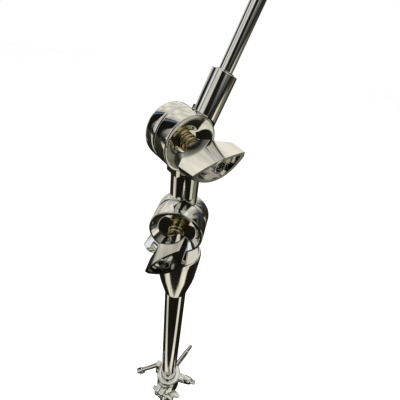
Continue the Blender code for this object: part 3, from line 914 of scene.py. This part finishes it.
@dataclass
class Boom:
    """The boom rod, its sleeve bush and the small cymbal tilter on its end."""

    layout: Layout = LAYOUT
    rod_r: float = 5.2
    start: float = 27.0
    end: float = 470.0

    def arm(self) -> None:
        """Rod and bush."""
        bush = lathe([(6.75, 55.2), (6.75, 31), (5.6, 31), (5.6, 55.2)], self.layout.boom,
                     ring=True, soft=0.3)
        finish_piece(bush, "turned_sleeve_bush", CHROME, "boom", ["sleeve_bush"])
        bar = rod(self.rod_r, self.start, self.end, self.layout.boom, 0.6)
        finish_piece(bar, "drawn_boom_rod", CHROME, "boom", ["boom_rod"])

    def head(self) -> None:
        """Tilter, post, washer, sleeve, felts and top nut."""
        tip = self.layout.boom @ at(z=self.end)
        pivot = tip @ at(z=18)
        across = pivot @ turn(-90, "X")
        base = lathe([(0, 6), (8, 6), (8, -22), (0, -22)], tip, soft=1.2)
        union(base, block((-7.5, -8, 0), (7.5, -0.2, 26), tip, 1.5))
        carve(base, block((-12, -0.2, 0.5), (12, 12, 30), tip), rod(5.6, -40, 0.4, tip),
              rod(3.6, -20, 20, across, sides=48))
        finish_piece(base, "cast_cymbal_tilter_base", CAST_CHROME, "boom",
                     ["cymbal_tilter_base"])
        head = pivot @ turn(-self.layout.lean, "Y")
        post = head @ at(0, 3, 0)
        cheek = lathe([(0, 8), (10, 8), (10, 0.2), (0, 0.2)], across, soft=0.8)
        union(cheek, block((-6.5, 0.2, 0), (6.5, 8, 22), head, 1.0),
              lathe([(0, 26), (8, 26), (8, 20), (0, 20)], post, soft=1.0),
              rod(3.1, 24, 78, post, 0.6, sides=48))
        carve(cheek, rod(3.6, -20, 20, across, sides=48))
        finish_piece(cheek, "cast_cymbal_tilter_head", CAST_CHROME, "cymbal_head",
                     ["cymbal_tilter_head"])
        WingBolt("cymbal_tilter_bolt", across @ at(z=-8.6) @ turn(180, "X"), 20.0,
                 15.0).build()
        washer = lathe([(4.5, 29), (14, 28.2), (14, 26.4), (3.6, 26.4), (3.6, 29)], post,
                       ring=True, soft=0.4)
        finish_piece(washer, "pressed_seat_washer", ZINC, "cymbal_head", ["seat_washer"])
        sleeve = lathe([(4.9, 56), (4.9, 30.8), (8.5, 30.8), (8.5, 29.4), (3.6, 29.4),
                        (3.6, 56)], post, ring=True, soft=0.4)
        finish_piece(sleeve, "moulded_nylon_sleeve", NYLON, "cymbal_head", ["nylon_sleeve"])
        for name, low in (("lower_felt", 31.2), ("upper_felt", 42.6)):
            felt = lathe([(17.6, low + 11), (18.5, low + 8), (18.5, low + 3), (17.6, low),
                          (5.4, low), (5.4, low + 11)], post, ring=True, soft=1.6)
            finish_piece(felt, "pressed_" + name, FELT, "cymbal_head", [name], sharp=60.0)
        seat = post @ at(z=56.6)
        nut = lathe([(0, 14), (5, 14), (6, 12), (7.5, 1), (7.5, 0), (0, 0)], seat, soft=1.0,
                    sides=64)
        wings = slab([(-18, 6), (-7, 1), (7, 1), (18, 6), (17, 19), (12, 19), (5, 9), (-5, 9),
                      (-12, 19), (-17, 19)], -1.8, 1.8, seat @ turn(90, "X"), 2.6)
        union(nut, soften(wings, 0.8, segments=3))
        carve(nut, rod(3.6, -5, 30, seat, sides=48))
        finish_piece(nut, "cast_top_wing_nut", CAST_CHROME, "top_wing_nut", ["top_wing_nut"])

    def build(self) -> None:
        """Build the arm and its head."""
        self.arm()
        self.head()


# ---- studio

@dataclass(frozen=True)
class Panel:
    """One patch of the studio that the chrome reflects, by direction in degrees."""

    azimuth: float
    width: float
    low: float
    high: float
    color: str
    power: float
    blur: float = 4.0


@dataclass
class Studio:
    """Floor, surroundings, lights and camera."""

    eye: Tuple[float, float, float] = (14.24, -186.72, 1550.82)
    forward: Tuple[float, float, float] = (0.00208, 0.77220, -0.63538)
    right: Tuple[float, float, float] = (0.99119, 0.08257, 0.10360)
    lens: float = 24.69
    base: Tuple[Tuple[float, str], ...] = (
        (0.0, "#14120F"), (0.30, "#2B2822"), (0.45, "#3D3A31"), (0.50, "#1C1B19"),
        (0.56, "#7A786E"), (0.68, "#CFCCC2"), (1.0, "#EFEDE6"))
    panels: Tuple[Panel, ...] = (
        Panel(94.0, 84.0, -6.0, 62.0, "#F4F0E2", 1.0, 6.0),
        Panel(158.0, 26.0, -8.0, 52.0, "#161514", 1.0, 4.0),
        Panel(150.0, 4.0, 12.0, 50.0, "#77839A", 1.0, 3.0),
        Panel(186.0, 12.0, 4.0, 34.0, "#EAF0F6", 1.2, 2.0),
        Panel(220.0, 44.0, 2.0, 46.0, "#E4E2DA", 1.0, 5.0),
        Panel(203.0, 5.0, -4.0, 60.0, "#1B1B1E", 1.0, 3.0),
        Panel(-94.0, 40.0, -20.0, 70.0, "#201E1A", 1.0, 6.0),
        Panel(-52.0, 6.0, 2.0, 40.0, "#3C4A66", 1.0, 3.0),
        Panel(10.0, 34.0, -46.0, -14.0, "#94927F", 0.8, 6.0),
        Panel(30.0, 16.0, 8.0, 50.0, "#191816", 1.0, 3.0),
        Panel(44.0, 3.0, -12.0, 26.0, "#33435F", 1.0, 3.0),
        Panel(127.0, 46.0, -32.0, 0.0, "#D2CEC0", 1.0, 5.0),
        Panel(-97.0, 120.0, -62.0, -22.0, "#1C1914", 1.0, 5.0),
        Panel(200.0, 14.0, -50.0, -8.0, "#C6C3B6", 0.6, 4.0))

    def patch(self, tree: bpy.types.NodeTree, azimuth: bpy.types.NodeSocket,
              height: bpy.types.NodeSocket, panel: Panel) -> bpy.types.NodeSocket:
        """A soft-edged mask for one panel.

        Args:
            tree: The world's tree.
            azimuth: The direction round, in degrees.
            height: The direction up, in degrees.
            panel: The patch.

        Returns:
            The mask, from zero to one.
        """
        def inside(value: bpy.types.NodeSocket, middle: float, half: float
                   ) -> bpy.types.NodeSocket:
            """How far a value lies inside a span."""
            off = math_step(tree, "SUBTRACT", value, middle)
            return math_step(tree, "SUBTRACT", half, math_step(tree, "ABSOLUTE", off))

        around = math_step(tree, "ADD", math_step(tree, "SUBTRACT", azimuth, panel.azimuth),
                           540.0)
        across = inside(math_step(tree, "MODULO", around, 360.0), 180.0, panel.width / 2)
        up = inside(height, (panel.low + panel.high) / 2, (panel.high - panel.low) / 2)
        return smooth_step(tree, math_step(tree, "MINIMUM", across, up), -panel.blur / 2,
                           panel.blur / 2)

    def low_band(self, tree: bpy.types.NodeTree, ray: bpy.types.NodeSocket,
                 rise: bpy.types.NodeSocket) -> bpy.types.NodeSocket:
        """A bright strip across the floor, between the viewer's dark side and the base.

        Args:
            tree: The world's tree.
            ray: The direction.
            rise: Its upward part.

        Returns:
            The strip's mask, from zero to one.
        """
        def along(x: float, y: float) -> bpy.types.NodeSocket:
            """How far the direction goes along a level vector."""
            node = add_node(tree, "ShaderNodeVectorMath",
                            {"operation": "DOT_PRODUCT", 1: (x, y, 0.0)}, {0: ray})
            return node.outputs["Value"]

        near = along(-0.122, -0.993)
        side = math_step(tree, "ABSOLUTE", along(0.993, -0.122))
        skew = math_step(tree, "MULTIPLY_ADD", side, 0.26, near)
        both = math_step(tree, "MULTIPLY", smooth_step(tree, near, 0.355, 0.325),
                         smooth_step(tree, skew, 0.25, 0.29))
        return math_step(tree, "MULTIPLY", both, smooth_step(tree, rise, -0.15, -0.25))

    def surroundings(self) -> None:
        """A plain white room to the eye, with soft panels for the chrome to mirror."""
        world = bpy.data.worlds.new("studio")
        bpy.context.scene.world = world
        world.use_nodes = True
        tree = world.node_tree
        tree.nodes.clear()
        ray = add_node(tree, "ShaderNodeTexCoord").outputs["Generated"]
        parts = add_node(tree, "ShaderNodeSeparateXYZ", links={0: ray}).outputs
        azimuth = math_step(tree, "DEGREES", math_step(tree, "ARCTAN2", parts[1], parts[0]))
        height = math_step(tree, "DEGREES", math_step(tree, "ARCSINE", parts[2]))
        span = add_node(tree, "ShaderNodeMapRange", {"From Min": -90.0, "From Max": 90.0},
                        {"Value": height})
        ramp = add_node(tree, "ShaderNodeValToRGB", links={"Fac": span.outputs[0]})
        stops = ramp.color_ramp.elements
        while len(stops) < len(self.base):
            stops.new(0.5)
        for stop, (place, color) in zip(stops, self.base):
            stop.position, stop.color = place, srgb(color)
        color = ramp.outputs[0]
        for panel in self.panels:
            value = tuple(c * panel.power for c in srgb(panel.color)[:3]) + (1.0,)
            color = mix_colors(tree, self.patch(tree, azimuth, height, panel), color, value)
        color = mix_colors(tree, self.low_band(tree, ray, parts[2]), color, srgb("#F6F1DE"))
        clutter = add_node(tree, "ShaderNodeTexNoise",
                           {"Scale": 5.0, "Detail": 5.0, "Roughness": 0.62}, {"Vector": ray})
        level = add_node(tree, "ShaderNodeMapRange",
                         {"From Min": 0.36, "From Max": 0.62, "To Min": 0.62, "To Max": 1.06},
                         {"Value": clutter.outputs["Fac"]})
        mirrored = add_node(tree, "ShaderNodeBackground", {},
                            {"Color": color, "Strength": level.outputs[0]})
        plain = add_node(tree, "ShaderNodeBackground", {"Color": srgb("#FFFFFF"),
                                                        "Strength": 1.0})
        path = add_node(tree, "ShaderNodeLightPath")
        gloss = add_node(tree, "ShaderNodeMixShader", links={0: path.outputs["Is Glossy Ray"],
                                                             1: plain.outputs[0],
                                                             2: mirrored.outputs[0]})
        add_node(tree, "ShaderNodeOutputWorld", links={0: gloss.outputs[0]})

    def floor(self) -> None:
        """A pale floor a little under the feet."""
        bm = bmesh.new()
        bmesh.ops.create_grid(bm, x_segments=1, y_segments=1, size=6000.0)
        plane = raw("studio_floor", bm, at(z=-0.6))
        mat = bpy.data.materials.new("pale_matt_floor")
        mat.use_nodes = True
        tree = mat.node_tree
        bsdf = tree.nodes["Principled BSDF"]
        grain = add_node(tree, "ShaderNodeTexNoise", {"Scale": 3.0, "Detail": 2.0},
                         {"Vector": add_node(tree, "ShaderNodeTexCoord").outputs["Object"]})
        tone = mix_colors(tree, grain.outputs["Fac"], srgb("#FDFDFD"), srgb("#FBFBFB"))
        wire(tree, bsdf, {"Base Color": tone, "Roughness": 0.9, "Specular IOR Level": 0.0})
        plane.data.materials.append(mat)
        plane.visible_glossy = False

    def lights(self) -> None:
        """One broad soft light overhead and a fill from the left."""
        for name, place, size, power in (("key", (900, -700, 3000), 1800, 42.0),
                                         ("fill", (-1500, -300, 2100), 1200, 14.0)):
            data = bpy.data.lights.new(name, "AREA")
            data.shape, data.size, data.energy = "SQUARE", size * MM, power
            lamp = bpy.data.objects.new(name, data)
            lamp.location = Vector(place) * MM
            aim = Vector((0, 0, 1.3)) - lamp.location
            lamp.rotation_euler = aim.to_track_quat("-Z", "Y").to_euler()
            lamp.visible_glossy = False
            bpy.context.scene.collection.objects.link(lamp)

    def camera(self) -> None:
        """The viewer, close above and in front of the tilters."""
        data = bpy.data.cameras.new("viewer")
        data.lens, data.sensor_width = self.lens, 36.0
        data.clip_start, data.clip_end = 0.01, 50.0
        ahead, right = Vector(self.forward).normalized(), Vector(self.right)
        right = (right - ahead * right.dot(ahead)).normalized()
        up = right.cross(ahead)
        camera = bpy.data.objects.new("viewer", data)
        bpy.context.scene.collection.objects.link(camera)
        rows = Matrix((right, up, -ahead)).transposed().to_4x4()
        camera.matrix_world = Matrix.Translation(Vector(self.eye) * MM) @ rows
        bpy.context.scene.camera = camera

    def build(self) -> None:
        """Set the whole studio up."""
        bpy.context.scene.view_settings.view_transform = "Standard"
        self.surroundings()
        self.floor()
        self.lights()
        self.camera()


# ---- main

def main() -> None:
    """Build every sub-assembly around the frame and report it."""
    logging.basicConfig(level=logging.INFO, format="%(name)s %(message)s")
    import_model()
    Studio().build()
    lay = LAYOUT
    Tubes().build()
    Tripod().build()
    Clamp("base_clamp", 15.9, 590.0, 14.3, 604.0, 215.0, "base").build()
    Clamp("middle_clamp", 14.3, 952.0, 12.7, 962.0, 244.0, "middle_tube").build()
    MemoryLock().build()
    castings = Castings()
    castings.build()
    WingBolt("cup_bolt", at(z=1300) @ turn(139) @ at(28.0) @ turn(90, "Y") @ turn(45), 14.8,
             solid=True).build()
    TilterHardware("upper", lay.upper_drum, *castings.upper, 6.1, "boom").build()
    TilterHardware("lower", lay.lower_drum, *castings.lower, 8.6, "tilter_link").build()
    for name, drum, front, spin in (("upper_wing_nut", lay.upper_drum, castings.upper[0], 173),
                                    ("lower_wing_nut", lay.lower_drum, castings.lower[0], 127.5)):
        WingNut(name, drum @ at(z=front) @ turn(spin), name).build()
    Boom().build()


if __name__ == "__main__":
    main()
